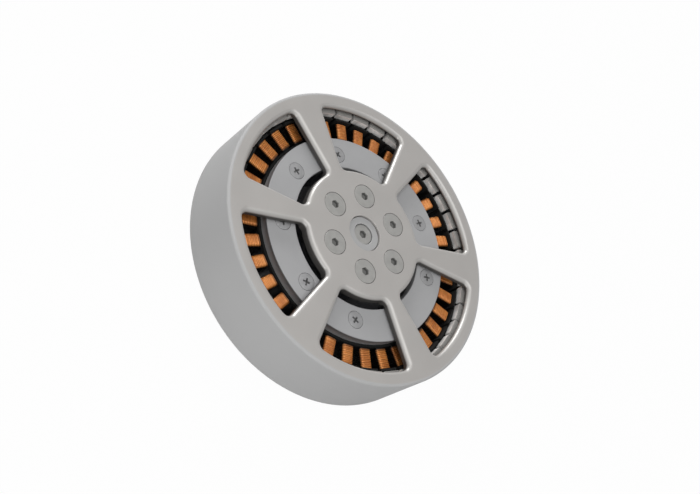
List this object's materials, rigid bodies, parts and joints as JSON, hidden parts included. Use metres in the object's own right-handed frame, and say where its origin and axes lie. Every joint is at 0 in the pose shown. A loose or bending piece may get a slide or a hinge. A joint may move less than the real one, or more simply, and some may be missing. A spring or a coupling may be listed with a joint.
{
  "type": "thruster motor",
  "caption": "Flat outrunner electric motor for an underwater thruster: a spoked, windowed bell with magnets turns round a wound stator on a fixed base.",
  "frame": {"origin": "centre of the rear mounting face, on the motor's axis", "axes": "+Z along the motor's axis, from the rear mounting face towards the bell's front face; +X towards the middle of the first coil"},
  "size_m": [0.1, 0.1, 0.0238],
  "materials": {
    "bell_aluminium": "bead blasted and clear anodised",
    "ring_steel": "turned, dull",
    "magnet_nickel": "nickel plated magnet blocks",
    "shaft_steel": "turned stainless steel",
    "screw_steel": "stainless, satin",
    "disc_aluminium": "turned, clear anodised",
    "spring_steel": "phosphated spring steel",
    "bearing_steel": "ground",
    "cage_brass": "plain",
    "base_aluminium": "dark anodised",
    "core_coating": "black epoxy coated laminations",
    "frame_plastic": "black moulded nylon",
    "copper_inner": "enamelled copper, inner layers",
    "copper_wire": "enamelled copper wire",
    "plate_aluminium": "satin, clear anodised",
    "plate_screw_steel": "stainless, satin",
    "shield_steel": "pressed sheet",
    "grommet_rubber": "black, matt"
  },
  "bodies": {
    "stator": {"stator_base": "base_aluminium", "stator_core": "core_coating", "front_end_frame": "frame_plastic", "rear_end_frame": "frame_plastic", "coil_cores": "copper_inner", "coil_windings": "copper_wire", "stator_plate": "plate_aluminium", "plate_screws": "plate_screw_steel", "front_outer_race": "bearing_steel", "rear_outer_race": "bearing_steel", "front_shields": "shield_steel", "rear_shields": "shield_steel", "race_spacer": "shaft_steel", "wave_washer": "spring_steel", "cable_grommet": "grommet_rubber"},
    "rotor": {"rotor_bell": "bell_aluminium", "flux_ring": "ring_steel", "rotor_magnets": "magnet_nickel", "rotor_shaft": "shaft_steel", "hub_screws": "screw_steel", "centre_disc": "disc_aluminium", "centre_screw": "screw_steel", "shaft_spacer": "shaft_steel", "retaining_ring": "spring_steel", "front_inner_race": "bearing_steel", "rear_inner_race": "bearing_steel"},
    "front_ball_set": {"front_balls": "bearing_steel", "front_cage": "cage_brass"},
    "rear_ball_set": {"rear_balls": "bearing_steel", "rear_cage": "cage_brass"}
  },
  "joints": [
    {"name": "rotor_spin", "type": "hinge", "parent": "stator", "child": "rotor", "pos_m": [0, 0, 0], "axis": [0, 0, 1], "continuous": true},
    {"name": "front_ball_roll", "type": "hinge", "parent": "stator", "child": "front_ball_set", "pos_m": [0, 0, 0.0135], "axis": [0, 0, 1], "continuous": true},
    {"name": "rear_ball_roll", "type": "hinge", "parent": "stator", "child": "rear_ball_set", "pos_m": [0, 0, 0.0043], "axis": [0, 0, 1], "continuous": true}
  ],
  "couplings": [
    {"joint": "front_ball_roll", "follows": "rotor_spin", "ratio": 0.43721},
    {"joint": "rear_ball_roll", "follows": "rotor_spin", "ratio": 0.43721}
  ]
}
